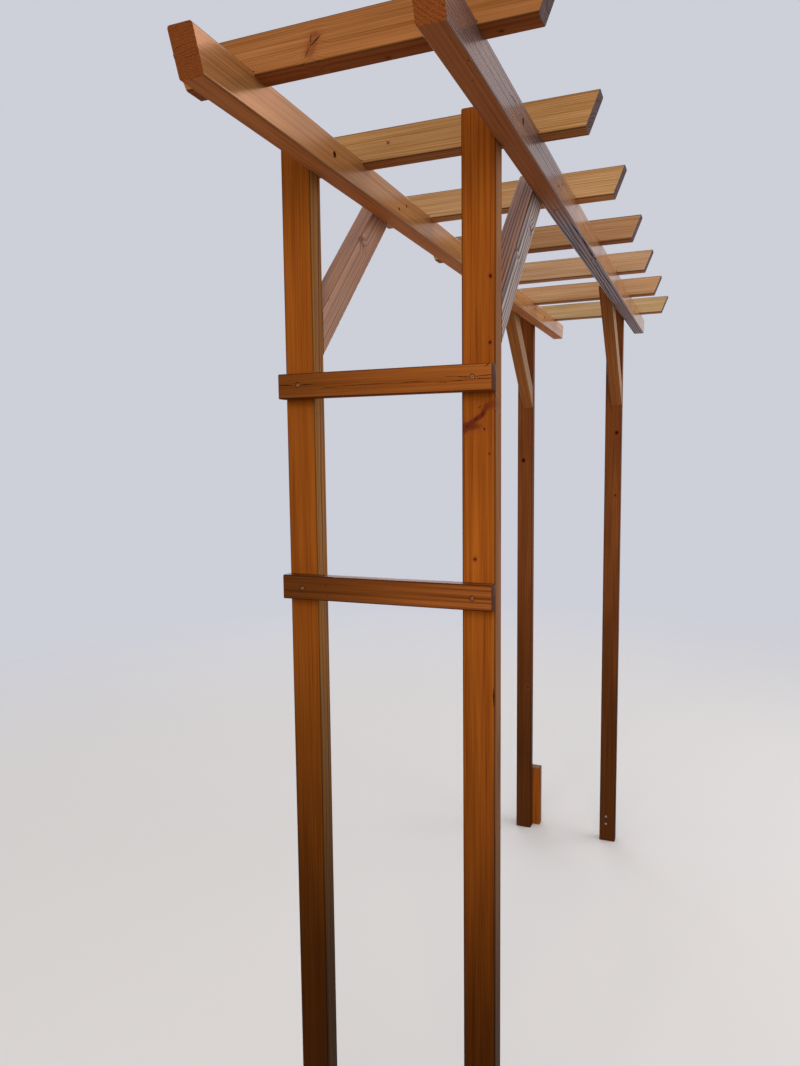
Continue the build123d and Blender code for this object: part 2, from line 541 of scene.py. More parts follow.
def worn_and_lit_share(tree, place, band, look):
    """How worn the surface is, in streaks: the top, the right-hand face, and past its turn the underside.
    The pale right-hand face is partly weathering and partly painted sky light and reflection.
    """
    worn_and_lit = facing(tree, ALONG_Z, look.top)
    for face, reach in (
        (facing(tree, ALONG_X, look.right), WEATHER_REACH),
        (facing(tree, -ALONG_Z, look.under), -WEATHER_REACH),
    ):
        near = add_node(tree, "ShaderNodeMapRange", SOFT, {
            "Value": place.outputs["Z"], "From Min": look.turn + reach, "From Max": look.turn - reach,
        })
        worn = add_node(tree, "ShaderNodeMath", {"operation": "MULTIPLY"}, {0: face, 1: near})
        worn_and_lit = add_node(tree, "ShaderNodeMath", {"operation": "MAXIMUM"}, {0: worn_and_lit, 1: worn})
    patchy = add_node(tree, "ShaderNodeMapRange", None, {"Value": band, "To Min": 0.7, "To Max": 1.1})
    return add_node(tree, "ShaderNodeMath", {"operation": "MULTIPLY"}, {0: worn_and_lit, 1: patchy})


def stained_larch(node, board, look, seed, marks=()):
    """Planed larch under a satin stain: the grain shows through, and flat faces mirror the sky softly."""
    timber = bpy.context.scene.pergola_timber
    draw = random.Random(seed)
    pith = look.pith or (draw.choice((-1, 1)) * draw.uniform(45, 90), draw.uniform(-40, 40))
    material, tree = blank_material(f"stained_larch_{node}")

    # Grain: year rings, stronger and weaker in bands, and streaks from fine fibres to broad clouds
    where = board_coordinates(tree, board)
    place = add_node(tree, "ShaderNodeSeparateXYZ", None, {"Vector": where})
    heart, halo, swelling = knots(tree, where, marks, seed + 7)
    split = cracks(tree, where, marks, seed + 5)
    ring_width = look.ring * timber.ring_width / MILLIMETRE
    rings = year_rings(tree, where, look, pith, ring_width, swelling, seed)
    fibre = streaks(tree, where, timber.fibre_width / MILLIMETRE, FIBRE_LENGTH, seed + 1)
    strand = streaks(tree, where, *STRANDS, seed + 2)
    band = streaks(tree, where, *BANDS, seed + 3)
    cloud = streaks(tree, where, *CLOUDS, seed + 4)
    uneven = add_node(tree, "ShaderNodeMapRange", None, {"Value": band, "To Min": 0.35, "To Max": 1.2})
    summer = add_node(tree, "ShaderNodeMath", {"operation": "MULTIPLY"}, {0: rings, 1: uneven})
    # The planer's ridges show in the stain as painted light and shade, and in the relief as real hollows
    ripple = planer_ripple(tree, place, band, look.ripple)

    # Stain: deeper in the summer wood, in strands and in broad bands, with painted light and shade on the
    # planer's ridges, painted shade on the edges, and a painted tone along the board
    depth = summed(tree, -0.12, (
        (summer, look.grain), (strand, 0.5), (band, 0.3), (fibre, 0.3), (ripple, 0.3),
    ))
    stain = add_node(tree, "ShaderNodeMix", COLOURS, {
        "Factor": depth, "A": srgb(look.light), "B": srgb(look.dark),
    })
    clouded = add_node(tree, "ShaderNodeMapRange", SOFT, {
        "Value": cloud, "From Min": -0.5, "From Max": 1.5, "To Min": 0.76,
    })
    # Painted shade towards a post's foot and a rung's left end, and brighter towards one end of the left
    # beam
    start, full = look.fade
    painted_light_and_shade = add_node(tree, "ShaderNodeMapRange", SOFT, {
        "Value": place.outputs["Z"], "From Min": start, "From Max": full, "To Min": look.foot,
    })
    # Painted shade on the rounded edges, which come out darker than the flat faces
    painted_edge_shade = add_node(tree, "ShaderNodeMapRange", SOFT, {
        "Value": squareness(tree, board), "From Min": 0.85, "From Max": 0.9995, "To Min": look.arris,
    })
    for tone in (clouded, painted_light_and_shade, painted_edge_shade):
        stain = add_node(tree, "ShaderNodeVectorMath", {"operation": "SCALE"}, {0: stain, "Scale": tone})

    # Undersides get a deeper and more red tint: partly a sheltered stain, partly painted shade
    underside_stain_and_shade = add_node(tree, "ShaderNodeVectorMath", {"operation": "MULTIPLY"}, {0: stain, 1: look.below})
    stain = add_node(tree, "ShaderNodeMix", COLOURS, {
        "Factor": facing(tree, -ALONG_Z), "A": stain, "B": underside_stain_and_shade,
    })

    # Weather: worn wood is pale between dark lines of summer wood. On the right-hand faces this pale colour
    # is partly weathering and partly painted sky light and reflection
    weathered_and_side_lit = worn_and_lit_share(tree, place, band, look)
    lined = summed(tree, -0.15, ((rings, 1.1), (strand, 0.2), (fibre, 0.15)))
    ground = add_node(tree, "ShaderNodeMix", COLOURS, {
        "Factor": facing(tree, ALONG_X), "A": srgb(look.worn), "B": srgb(look.side or look.worn),
    })
    grey = add_node(tree, "ShaderNodeMix", COLOURS, {
        "Factor": lined, "A": ground, "B": timber.weathered_grain,
    })
    grey = add_node(tree, "ShaderNodeVectorMath", {"operation": "SCALE"}, {0: grey, "Scale": painted_light_and_shade})

    # Sawn ends: dark and dull, lined by the saw and by the year rings
    end = add_node(tree, "ShaderNodeMath", {"operation": "MAXIMUM"}, {
        0: facing(tree, board.along), 1: facing(tree, -board.along),
    })
    saw = streaks(tree, where, *SAW_MARKS, seed + 6, 1.0)
    sawn = add_node(tree, "ShaderNodeMath", {"operation": "MULTIPLY_ADD"}, {0: summer, 1: 0.35, 2: saw})
    end_grain = add_node(tree, "ShaderNodeMix", COLOURS, {
        "Factor": sawn, "A": timber.end_grain, "B": timber.end_grain_line,
    })
    end_grain = add_node(tree, "ShaderNodeVectorMath", {"operation": "SCALE"}, {
        0: end_grain, "Scale": look.end,
    })

    # On top of the stain: knots, sawn ends, worn wood with the painted light of the right-hand faces, and
    # the painted shade in cracks and screw cups
    shown = stain
    for share, colour in (
        (halo, timber.blush), (heart, timber.knot), (end, end_grain), (weathered_and_side_lit, grey), (split, timber.crack),
    ):
        shown = add_node(tree, "ShaderNodeMix", COLOURS, {"Factor": share, "A": shown, "B": colour})

    # Relief, in millimetres: raised summer wood, fibres, ripple, and cracks cut in
    ridge = add_node(tree, "ShaderNodeMapRange", None, {
        "Value": weathered_and_side_lit,
        "To Min": timber.ridge_height / MILLIMETRE,
        "To Max": timber.weathered_ridge_height / MILLIMETRE,
    })
    raised = add_node(tree, "ShaderNodeMath", {"operation": "MULTIPLY"}, {0: summer, 1: ridge})
    relief = summed(tree, raised, ((fibre, 0.012), (ripple, -0.25), (split, -0.8)))
    bump = add_node(tree, "ShaderNodeBump", None, {
        "Strength": 1.0, "Distance": MILLIMETRE, "Height": relief,
    })

    # Finish: satin where the stain is whole, and dull on worn lines, sawn ends, cracks and undersides
    dull = add_node(tree, "ShaderNodeMath", {"operation": "MULTIPLY", "use_clamp": True}, {
        0: rings, 1: weathered_and_side_lit,
    })
    for layer in (end, split):
        dull = add_node(tree, "ShaderNodeMath", {"operation": "MAXIMUM"}, {0: layer, 1: dull})
    satin = add_node(tree, "ShaderNodeMapRange", None, {
        "Value": cloud, "To Min": look.gloss - 0.04, "To Max": look.gloss + 0.06,
    })
    roughness = add_node(tree, "ShaderNodeMapRange", None, {"Value": dull, "To Min": satin, "To Max": 0.6})
    sheltered = add_node(tree, "ShaderNodeMix", {"data_type": "FLOAT"}, {
        "Factor": facing(tree, -ALONG_Z), "A": roughness, "B": 0.85,
    })
    # A low shine is one number on the shader's own socket, and only a strong one fades on dull wood
    shine = look.shine
    if look.shine > 0.05:
        shine = add_node(tree, "ShaderNodeMapRange", None, {
            "Value": dull, "To Min": look.shine, "To Max": 0.0,
        })
    shader = add_node(tree, "ShaderNodeBsdfPrincipled", None, {
        "Base Color": shown, "Roughness": sheltered, "IOR": 1.8, "Specular IOR Level": shine,
        "Specular Tint": srgb("E08A3C"), "Normal": bump,
    })
    add_node(tree, "ShaderNodeOutputMaterial", None, {"Surface": shader})
    return material


def dress(timber, node, board, look, seed, marks=()):
    """Give a timber its own cut of stained larch."""
    placed = [m._replace(start=on_board(board, m.start), end=on_board(board, m.end)) for m in marks]
    timber.data.materials.clear()
    timber.data.materials.append(stained_larch(node, board, look, seed, placed))


class PERGOLA_OT_dress_posts(Operator):
    """Stain the four posts and the stake, with their grain upright"""

    bl_idname = "pergola.dress_posts"
    bl_label = "Posts"

    def execute(self, context):
        # The front posts darken towards the foot as painted shade (foot, fade), and their right-hand faces
        # carry pale painted sky light and reflection (right, worn)
        bright = Look(
            "B16220", "74350E", grain=0.18, foot=0.16, shine=0.015, gloss=0.5, right=0.35, worn="94805C",
        )
        # The back posts' darker stain is painted shade, and it darkens further towards the foot as painted
        # shade
        dull = Look("95562A", "5E2F18", foot=0.45, shine=0.015, gloss=0.5, right=0.0)
        looks = {
            "front_right_post": bright,
            "front_left_post": bright._replace(light="A35C1E", fade=(-600, 450), right=0.5, worn="B88C50"),
            "back_right_post": dull,
            "back_left_post": dull,
            "back_left_stake": bright._replace(foot=1.0),
        }
        front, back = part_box("front_right_post")[0][Y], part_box("back_left_post")[0][Y]
        marks = {
            "front_right_post": on_face(Y, front, [
                # One knot cut lengthwise, as a bent band
                spike_knot((0.088, 1.593), (0.100, 1.601), 7.5, 0.8),
                spike_knot((0.100, 1.601), (0.112, 1.6085), 5.2, 0.85),
                spike_knot((0.112, 1.6085), (0.127, 1.6195), 4.4, 0.85),
                spike_knot((0.127, 1.6195), (0.136, 1.634), 5.0, 0.7),
                spike_knot((0.136, 1.634), (0.149, 1.638), 7.0, 0.5),
                crack((0.098, 1.598), (0.104, 1.6035), 0.9, 0.6),
                crack((0.113, 1.610), (0.120, 1.6165), 0.8, 0.6),
                crack((0.126, 1.617), (0.132, 1.6265), 0.8, 0.8),
                # Small knots and cracks up and down the post
                *dark_knot((0.1317, 1.5955), 1.8, 0.9),
                *dark_knot((0.1401, 1.554), 1.6, 0.9),
                *dark_knot((0.1412, 1.7388), 2.8, 1.2, strength=1.0),
                *dark_knot((0.1418, 1.8467), 3.2, 1.2, strength=1.0),
                knot((0.1145, 1.3732), 3.2, 0.7),
                crack((0.110, 1.3735), (0.118, 1.3725), 0.7, 0.8),
                crack((0.1205, 1.6305), (0.1265, 1.6355), 0.5),
                crack((0.147, 1.150), (0.1485, 1.112), 0.9),
            ]),
            "back_left_post": on_face(Y, back, [
                *dark_knot((-0.2271, 1.5318), 9, 6, darkness=0.85),
                *dark_knot((-0.2045, 0.6021), 5, 3, darkness=0.8),
            ]),
            "back_right_post": on_face(Y, back, [
                *dark_knot((0.1344, 1.634), 8, 5, darkness=0.85),
                *dark_knot((0.1329, 1.3946), 4, 2.5, darkness=0.8),
            ]),
        }
        for seed, (node, look) in enumerate(looks.items()):
            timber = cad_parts[node]
            dress(timber, node, board_of(node, ALONG_Z, ALONG_Y), look, 10 + seed, marks.get(node, ()))
        return {"FINISHED"}


class PERGOLA_OT_dress_beams(Operator):
    """Stain the two beams, with their grain from front to back"""

    bl_idname = "pergola.dress_beams"
    bl_label = "Beams"

    def execute(self, context):
        looks = {
            "left_beam": Look(
                "CE965F", "8A562A", right=0.0, foot=1.3, fade=(1250, 200), gloss=0.18, shine=1.0, end=0.9,
            ),
            # The right beam: its right-hand face is a dark grey, partly weathering and partly painted sky
            # reflection (side), its underside gets a darker tint as painted shade (below), and past the turn
            # the underside is weathered grey (worn)
            "right_beam": Look(
                "CC9870", "906442", grain=0.4, ring=1.5, even=0.7, sway=4, pith=(70, 70), right=0.9,
                top=0.7, under=0.95, below=(0.8, 0.5, 0.32), worn="AEAEBC", side="544A4E", turn=-510,
                gloss=0.14, shine=1.0, end=1.05,
            ),
        }
        low, high = corners("right_beam")
        marks = {
            "right_beam": [
                *on_face(Z, low.z, [knot((0.1746, -1.14), 2), knot((0.1864, -1.1954), 2)]),
                *on_face(X, high.x, [
                    knot((-1.0416, 2.1067), 3),
                    crack((-0.9982, 2.0988), (-0.944, 2.1008), 0.7),
                ]),
                # The weathered underside behind the brace
                *on_face(Z, low.z, [
                    knot((0.17, -0.527), 2.5),
                    crack((0.164, -0.524), (0.185, -0.534), 0.8),
                    knot((0.186, -0.078), 4.5),
                    knot((0.17, 0.23), 3),
                    crack((0.183, -0.43), (0.187, -0.29), 1.2),
                    crack((0.187, -0.32), (0.1865, -0.15), 1.4),
                    crack((0.1868, -0.2), (0.185, -0.072), 1.5),
                    crack((0.184, -0.088), (0.187, -0.07), 2.4),
                    crack((0.17, -0.42), (0.174, -0.15), 0.8),
                    crack((0.161, -0.33), (0.164, -0.05), 0.7),
                    crack((0.166, 0.004), (0.1865, 0.012), 1.1),
                    crack((0.176, -0.04), (0.172, 0.22), 0.9),
                    crack((0.164, 0.12), (0.161, 0.52), 0.8),
                    crack((0.18, 0.04), (0.183, 0.36), 0.7),
                ]),
            ],
        }
        for seed, (node, look) in enumerate(looks.items()):
            board = board_of(node, ALONG_Y, ALONG_X)
            dress(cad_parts[node], node, board, look, 20 + seed, marks.get(node, ()))
        return {"FINISHED"}


class PERGOLA_OT_dress_braces(Operator):
    """Stain the knee braces, with their grain along their slope"""

    bl_idname = "pergola.dress_braces"
    bl_label = "Braces"

    def execute(self, context):
        # Braces: their right-hand faces are pale (right, worn), partly weathering and partly painted sky
        # light and reflection
        weathered = Look(
            "C08A6A", "6A3C2C", grain=0.8, ring=1.8, even=0.7, sway=5, pith=(60, 60), right=0.75, top=0.35,
            worn="B8AEA6", gloss=0.34, shine=0.17,
        )
        milder = weathered._replace(
            light="CE946A", dark="8E5A3E", grain=0.35, ring=1.2, even=0.3, right=0.35, worn="CDAA9C",
            arris=0.75,
        )
        fresh = dict(light="BC844E", dark="84502A", grain=0.4, right=0.4, worn="D8AC78", shine=0.025)
        looks = {
            "front_left_brace": milder,
            "front_right_brace": weathered,
            "back_left_brace": milder._replace(**fresh),
            "back_right_brace": weathered._replace(**fresh),
        }
        left_face, right_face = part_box("front_left_brace")[1][X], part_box("front_right_brace")[1][X]
        marks = {
            "front_left_brace": on_face(X, left_face, [
                knot((-0.713, 1.993), 5),
                crack((-0.708, 1.996), (-0.715, 1.989), 0.8, 0.8),
                knot((-0.8797, 1.864), 3.5),
            ]),
            "front_right_brace": on_face(X, right_face, [
                knot((-0.674, 1.988), 7),
                crack((-0.69, 1.996), (-0.662, 1.974), 2.0, 0.8),
                crack((-0.656, 1.995), (-0.685, 1.97), 1.2, 0.8),
                crack((-0.695, 1.99), (-0.725, 1.95), 0.9, 0.8),
                *dark_knot((-0.7787, 1.9128), 2.5, 1.8),
                crack((-0.756, 1.947), (-0.786, 1.902), 1.2, 0.8),
                crack((-0.732, 1.929), (-0.8, 1.856), 0.9, 0.7),
                crack((-0.795, 1.895), (-0.85, 1.83), 0.9, 0.7),
                crack((-0.77, 1.87), (-0.84, 1.795), 0.8, 0.7),
            ]),
        }
        for seed, (node, look) in enumerate(looks.items()):
            away = 1 if node.startswith("front") else -1
            along = Vector((0, away * cos(BRACE_SLOPE), sin(BRACE_SLOPE)))
            board = board_of(node, along, ALONG_X)
            dress(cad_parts[node], node, board, look, 44 + seed, marks.get(node, ()))
        return {"FINISHED"}


def make_object(name, maker):
    """A new mesh object at the origin, from a bmesh that is in place."""
    mesh = bpy.data.meshes.new(name)
    maker.to_mesh(mesh)
    maker.free()
    made = bpy.data.objects.new(name, mesh)
    bpy.context.scene.collection.objects.link(made)
    return made


def merged_copy(node, name):
    """A closed copy of a CAD timber, ready to be cut."""
    maker = bmesh.new()
    maker.from_mesh(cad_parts[node].data)
    bmesh.ops.remove_doubles(maker, verts=maker.verts, dist=0.01 * MILLIMETRE)
    return make_object(name, maker)


def cut_out(timber, maker):
    """Cut a closed shape out of a timber."""
    bmesh.ops.recalc_face_normals(maker, faces=maker.faces)
    cutter = make_object("cutter", maker)
    modifier = timber.modifiers.new("cut", "BOOLEAN")
    modifier.object = cutter
    modifier.operation = "DIFFERENCE"
    modifier.solver = "EXACT"
    evaluated = timber.evaluated_get(bpy.context.evaluated_depsgraph_get())
    cut_mesh = bpy.data.meshes.new_from_object(evaluated)
    timber.modifiers.clear()
    timber.data = cut_mesh
    bpy.data.objects.remove(cutter)


def crack_cutter(start, end, width, depth, draw):
    """A jagged wedge in a front face, widest and deepest at its middle and pointed at its ends."""
    steps = 14
    start, end = Vector(start), Vector(end)
    jags = [draw.uniform(-0.4, 0.4) * MILLIMETRE for _ in range(steps + 1)]
    maker = bmesh.new()
    bmesh.ops.create_grid(maker, x_segments=steps, y_segments=1, size=0.5)
    pushed = bmesh.ops.extrude_face_region(maker, geom=maker.faces[:])["geom"]
    for vert in (item for item in pushed if isinstance(item, bmesh.types.BMVert)):
        vert.co.z = 1
    for vert in maker.verts:
        share, side, sunk = vert.co.x + 0.5, 2 * vert.co.y, vert.co.z
        bulge = 0.12 + 0.88 * sin(pi * share)
        middle = start.lerp(end, share) + Vector((0, 0, jags[round(share * steps)]))
        rise = side * width / 2 * bulge * (1.25 - 1.15 * sunk)
        vert.co = middle + Vector((0, depth * (1.25 * bulge * sunk - 0.25), rise))
    return maker


def cup_cutter(places, outward, radius, depth):
    """Shallow cups in a face that looks outward, each wider at its rim."""
    maker = bmesh.new()
    turn = Vector(outward).to_track_quat("Z", "Y").to_matrix().to_4x4()
    for place in places:
        bmesh.ops.create_cone(
            maker, cap_ends=True, segments=32, radius1=radius * 0.8, radius2=radius * 1.2, depth=2 * depth,
            matrix=Matrix.Translation(place) @ turn,
        )
    return maker


def stand_in(timber, node):
    """Let a carved timber take its CAD node's place, its flat faces shaded flat."""
    timber.data.shade_smooth()
    timber.data.set_sharp_from_angle(angle=radians(28))
    timber.modifiers.new("even_shading", "WEIGHTED_NORMAL").keep_sharp = True
    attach(timber, BODY)
    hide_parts(node)


def rafter_screw_places(node):
    """Where a rafter is screwed down from above: over the middle of each beam."""
    low, high = corners(node)
    beams = (corners(beam) for beam in ("left_beam", "right_beam"))
    return [Vector(((left.x + right.x) / 2, (low.y + high.y) / 2, high.z)) for left, right in beams]


class PERGOLA_OT_carve_rafters(Operator):
    """Carve and stain the rafters, with cups round their screws and their grain across the pergola"""

    bl_idname = "pergola.carve_rafters"
    bl_label = "Rafters"

    def execute(self, context):
        _, front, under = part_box("rafter_1")[0]
        marks = {
            "rafter_1": [
                *on_face(Y, front, [
                    spike_knot((-0.058, 2.128), (-0.049, 2.147), 8, 0.4),
                    crack((-0.0663, 2.1203), (-0.058, 2.1347), 0.6, 0.8),
                    crack((-0.058, 2.1347), (-0.0373, 2.1489), 0.8, 0.9),
                    crack((-0.0565, 2.1381), (-0.0546, 2.1536), 0.6, 0.8),
                ]),
                *on_face(Z, under, [
                    knot((0.0521, front + 0.0286), 2.5),
                    knot((0.217, front + 0.0248), 2.5),
                ]),
            ],
            "rafter_2": on_face(Y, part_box("rafter_2")[0][Y], [knot((-0.0966, 2.143), 2)]),
        }
        tones = (
            ("B07546", "814D22"), ("C99C6B", "986938"), ("DAB284", "A8794A"), ("C49A74", "8C6038"),
            ("E0BA98", "A87C52"), ("E0B48D", "AA7D4E"), ("E2C297", "AA8856"),
        )
        for number, (light, dark) in enumerate(tones):
            node = f"rafter_{number + 1}"
            look = Look(light, dark, grain=0.7 if number else 0.5, sway=8, right=0.4, top=0.4, end=0.45)
            timber = merged_copy(node, f"{node}_carved")
            screws = rafter_screw_places(node)
            cut_out(timber, cup_cutter(screws, ALONG_Z, *RAFTER_CUP))
            # Each cup holds a dark disc a little smaller than it: painted shade in the cup
            cups = [hollow(place, 5.0, 0.8) for place in screws]
            board = board_of(node, -ALONG_X, ALONG_Y)
            dress(timber, node, board, look, 30 + number, marks.get(node, []) + cups)
            stand_in(timber, node)
        return {"FINISHED"}


class PERGOLA_OT_carve_rungs(Operator):
    """Carve and stain the rungs: cups round their screws, and the drying cracks of the upper one"""

    bl_idname = "pergola.carve_rungs"
    bl_label = "Rungs"

    def execute(self, context):
        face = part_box("lower_rung")[0][Y]
        splits = {
            "upper_rung": on_face(Y, face, [
                crack((0.088, 1.6832), (0.117, 1.6806), 0.5),
                crack((0.07, 1.6842), (0.09, 1.6833), 0.3),
                crack((0.077, 1.6754), (0.115, 1.6764), 0.4),
                crack((0.056, 1.675), (0.077, 1.6738), 0.3),
                crack((0.119, 1.6812), (0.164, 1.6838), 0.5),
                crack((0.12, 1.6774), (0.164, 1.6768), 0.45),
                crack((-0.135, 1.676), (-0.020, 1.6776), 0.35),
                crack((-0.010, 1.6772), (0.040, 1.678), 0.3),
                crack((-0.256, 1.6826), (-0.216, 1.6819), 0.6),
                crack((-0.209, 1.6814), (-0.178, 1.6824), 0.6),
                crack((-0.166, 1.6741), (-0.13, 1.675), 0.35),
                crack((0.1395, 1.696), (0.148, 1.7024), 0.55),
            ]),
        }
        # The rungs darken towards their left ends as painted shade (foot, fade), and the lower rung's planer
        # ridges carry painted light and shade (ripple)
        lower = Look(
            "A25C2A", "64310F", grain=0.2, right=0.0, top=0.0, foot=0.4, fade=(220, -200), shine=0.025,
            end=0.35, ripple=1.0,
        )
        looks = {
            "lower_rung": lower,
            "upper_rung": lower._replace(light="B0682E", dark="803F16", foot=0.5, ripple=0.0),
        }
        for seed, (node, look) in enumerate(looks.items()):
            draw = random.Random(70 + seed)
            timber = merged_copy(node, f"{node}_carved")
            screws = [(x, face, z) for x, z in RUNG_SCREWS[node]]
            cut_out(timber, cup_cutter(screws, -ALONG_Y, *RUNG_CUP))
            if node == "lower_rung":
                holes = [(x, face, z) for x, z in RUNG_HOLES]
                cut_out(timber, cup_cutter(holes, -ALONG_Y, *EMPTY_HOLE))
            # Each cup holds a dark disc a little smaller than it: painted shade in the cup
            marks = [hollow(place, 4.4, 0.8) for place in screws]
            for split in splits.get(node, ()):
                width = 2 * split.width * MILLIMETRE
                cut_out(timber, crack_cutter(split.start, split.end, width, CRACK_DEPTH, draw))
                marks.append(split)
            dress(timber, node, board_of(node, -ALONG_X, ALONG_Y), look, 50 + seed, marks)
            stand_in(timber, node)
        return {"FINISHED"}


def zinc_plated_steel(name, plating, roughness):
    """Steel with a thin dull plating: grey or yellowish, and only softly shiny."""
    material, tree = blank_material(name)
    surface = add_node(tree, "ShaderNodeTexCoord")
    # Crystals of the plating, which are finer than a tenth of a millimetre, drawn as coarse as they show
    speckle = add_node(tree, "ShaderNodeTexNoise", None, {
        "Vector": surface.outputs["Object"], "Scale": 1 / (0.8 * MILLIMETRE), "Detail": 2.0,
    })
    tone = add_node(tree, "ShaderNodeMapRange", None, {
        "Value": speckle, "From Min": 0.3, "From Max": 0.7, "To Min": 0.7, "To Max": 1.1,
    })
    colour = add_node(tree, "ShaderNodeVectorMath", {"operation": "SCALE"}, {0: plating[:3], "Scale": tone})
    shader = add_node(tree, "ShaderNodeBsdfPrincipled", None, {
        "Base Color": colour, "Metallic": 1.0, "Roughness": roughness,
    })
    add_node(tree, "ShaderNodeOutputMaterial", None, {"Surface": shader})
    return material


def set_in_place(maker, verts, place, outward):
    """Move something made upright at the origin to a place, its top facing outward."""
    turn = Vector(outward).to_track_quat("Z", "Y").to_matrix().to_4x4()
    bmesh.ops.transform(maker, matrix=Matrix.Translation(place) @ turn, verts=verts)


def top_face(verts):
    """The highest face that these vertices belong to."""
    faces = {face for vert in verts for face in vert.link_faces}
    return max(faces, key=lambda face: face.calc_center_median().z)


def screw_head(maker, place, outward, radius):
    """A countersunk head with a star recess, its rim at a place and facing outward."""
    before = set(maker.verts)
    sink = Matrix.Translation((0, 0, -radius * 0.35))
    bmesh.ops.create_cone(
        maker, cap_ends=True, segments=24, radius1=radius * 0.5, radius2=radius, depth=radius * 0.7,
        matrix=sink,
    )
    top = top_face(set(maker.verts) - before)
    bmesh.ops.inset_individual(maker, faces=[top], thickness=radius * 0.12, depth=radius * 0.06)
    bmesh.ops.inset_individual(maker, faces=[top], thickness=radius * 0.3)
    # Six points of a star: every second pair of the 24 corners is pulled in
    for number, vert in enumerate(top.verts):
        if number % 4 < 2:
            vert.co.xy *= 0.7
    floor = bmesh.ops.extrude_discrete_faces(maker, faces=[top])["faces"][0]
    bmesh.ops.scale(maker, verts=floor.verts, vec=(0.85, 0.85, 1))
    bmesh.ops.translate(maker, verts=floor.verts, vec=(0, 0, -radius * 0.6))
    set_in_place(maker, list(set(maker.verts) - before), place, outward)


def bolt_head(maker, place, outward, radius, height):
    """A hexagonal head with a chamfered top on a round washer, the washer's back at a place."""
    before = set(maker.verts)
    washer_radius = radius * 1.12
    bmesh.ops.create_cone(
        maker, cap_ends=True, segments=32, radius1=washer_radius, radius2=washer_radius, depth=height * 0.25,
        matrix=Matrix.Translation((0, 0, height * 0.125)),
    )
    washer = set(maker.verts) - before
    bmesh.ops.create_cone(
        maker, cap_ends=True, segments=6, radius1=radius, radius2=radius, depth=height,
        matrix=Matrix.Translation((0, 0, height * 0.75)),
    )
    top = top_face(set(maker.verts) - before - washer)
    bmesh.ops.inset_individual(maker, faces=[top], thickness=radius * 0.12, depth=height * 0.08)
    set_in_place(maker, list(set(maker.verts) - before), place, outward)


def finish_hardware(name, maker, material):
    """Make small metal things one piece that rides with the pergola."""
    bmesh.ops.recalc_face_normals(maker, faces=maker.faces)
    piece = make_object(name, maker)
    piece.data.materials.append(material)
    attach(piece, BODY)


class PERGOLA_OT_drive_screws(Operator):
    """Drive the screws of the rungs, rafters, braces and one foot, and the bolts of the beams"""

    bl_idname = "pergola.drive_screws"
    bl_label = "Screws and bolts"

    def execute(self, context):
        hardware = context.scene.pergola_hardware
        yellow = zinc_plated_steel("yellow_zinc_plated_steel", hardware.yellow_zinc, 0.5)
        grey = zinc_plated_steel("zinc_plated_steel", hardware.grey_zinc, 0.42)
        rung_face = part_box("lower_rung")[0][Y]
        maker = bmesh.new()
        for places in RUNG_SCREWS.values():
            for x, z in places:
                screw_head(maker, (x, rung_face + hardware.sink, z), -ALONG_Y, hardware.rung_screw)
        finish_hardware("rung_screws", maker, yellow)

        maker = bmesh.new()
        for node in (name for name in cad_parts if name.startswith("rafter_")):
            for place in rafter_screw_places(node):
                screw_head(maker, place - hardware.sink * ALONG_Z, ALONG_Z, hardware.rafter_screw)
        finish_hardware("rafter_screws", maker, grey)

        maker = bmesh.new()
        bolts = bmesh.new()
        post_low, post_high = corners("back_right_post")
        post_place = (post_low.y + post_high.y) / 2
        for beam in ("left_beam", "right_beam"):
            low, high = corners(beam)
            middle = (low.z + high.z) / 2
            screw_depth = high.x - BRACE_SCREW_SINK
            for end in (-1, 1):
                bolt_place = (high.x - BOLT_SINK, end * post_place, middle)
                bolt_head(bolts, bolt_place, ALONG_X, *BOLT_HEAD)
                for step in (-1, 1):
                    along = end * (BRACE_HEAD_PLACE - step * SCREW_STEP_ALONG)
                    place = (screw_depth, along, middle + step * SCREW_STEP_UP)
                    screw_head(maker, place, ALONG_X, hardware.brace_screw)
        finish_hardware("brace_screws", maker, grey)
        finish_hardware("beam_bolts", bolts, grey)

        maker = bmesh.new()
        for x, z in FOOT_SCREWS:
            screw_head(maker, (x, post_low.y, z), -ALONG_Y, hardware.foot_screw)
        finish_hardware("foot_screws", maker, grey)
        return {"FINISHED"}


def seen_directly(tree):
    """1 for what the camera and mirror images see, and 0 for what only lights the scene."""
    path = add_node(tree, "ShaderNodeLightPath")
    return add_node(tree, "ShaderNodeMath", {"operation": "MAXIMUM"}, {
        0: path.outputs["Is Camera Ray"], 1: path.outputs["Is Glossy Ray"],
    })


def floor_paint(stage):
    """Matt pale paint that keeps shadows near the pergola and fades into the backdrop further out."""
    material, tree = blank_material("floor_paint")
    colour = add_node(tree, "ShaderNodeMix", COLOURS, {
        "Factor": seen_directly(tree), "A": srgb("8F8A84"), "B": stage.floor,
    })
    surface = add_node(tree, "ShaderNodeTexCoord")
    distance = add_node(tree, "ShaderNodeVectorMath", {"operation": "LENGTH"}, {
        0: surface.outputs["Object"],
    })
    fade = add_node(tree, "ShaderNodeMapRange", SOFT, {"Value": distance, "From Min": 2.2, "From Max": 6.5})
    paint = add_node(tree, "ShaderNodeBsdfDiffuse", None, {"Color": colour})
    clear = add_node(tree, "ShaderNodeBsdfTransparent")
    blend = add_node(tree, "ShaderNodeMixShader", None, {"Fac": fade, 1: paint, 2: clear})
    add_node(tree, "ShaderNodeOutputMaterial", None, {"Surface": blend})
    return material


